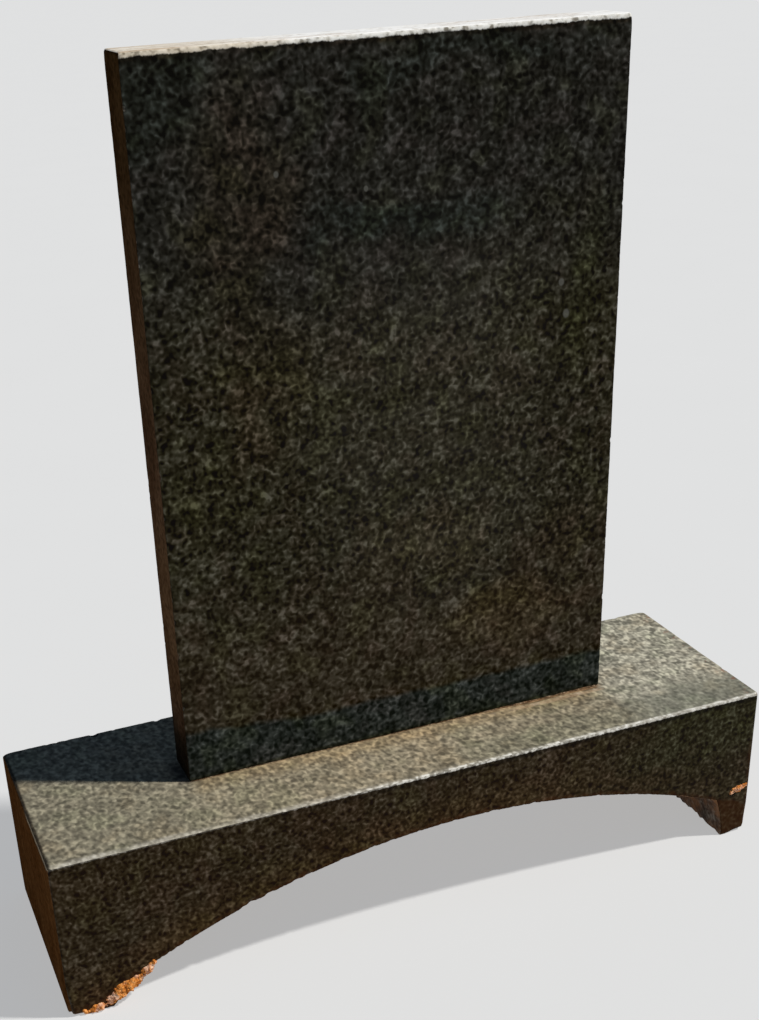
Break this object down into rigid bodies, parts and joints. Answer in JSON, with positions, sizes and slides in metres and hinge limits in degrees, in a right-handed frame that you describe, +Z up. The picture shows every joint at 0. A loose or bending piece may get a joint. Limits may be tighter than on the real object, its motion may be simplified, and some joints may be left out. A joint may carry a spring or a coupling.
{
  "type": "headstone",
  "caption": "Upright rectangular polished granite headstone slab on a wide granite base block with a shallow arched underside; the face is bare.",
  "frame": {"origin": "middle of the base block's footprint, on the surface that its two feet stand on", "axes": "+Z up, +X to the right seen from the front, and the polished front face looks along -Y"},
  "size_m": [0.994, 0.292, 1.0893],
  "materials": {
    "polished_granite": "polished",
    "weathered_granite": "sawn and weathered"
  },
  "bodies": {
    "root": {"headstone_slab": "polished_granite", "base_block": "weathered_granite"}
  },
  "joints": []
}
